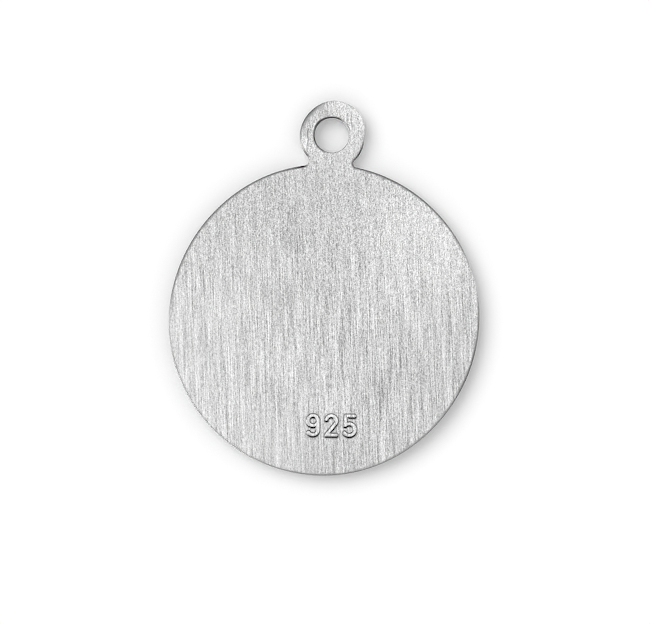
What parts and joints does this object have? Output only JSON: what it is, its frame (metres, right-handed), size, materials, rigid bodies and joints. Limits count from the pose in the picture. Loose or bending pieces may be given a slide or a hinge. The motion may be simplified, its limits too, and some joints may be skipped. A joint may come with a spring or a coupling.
{
  "type": "religious medal pendant",
  "caption": "Flat round silver medal struck in one piece with its hanging loop: brushed back, and a front with a raised rim, a ring line and a plain cross in low relief.",
  "frame": {"origin": "middle of the outline, disc and loop together, on the plane that the front's rim rests on", "axes": "+Z out of the brushed back, which is up as the medal lies; +Y from the disc towards the loop; +X to the right of the back, seen with the loop at the top"},
  "size_m": [0.023, 0.0277, 0.0015],
  "materials": {
    "silver": "sterling silver, brushed in fine upright lines on the back, satin on the front"
  },
  "bodies": {
    "root": {"medal": "silver"}
  },
  "joints": []
}
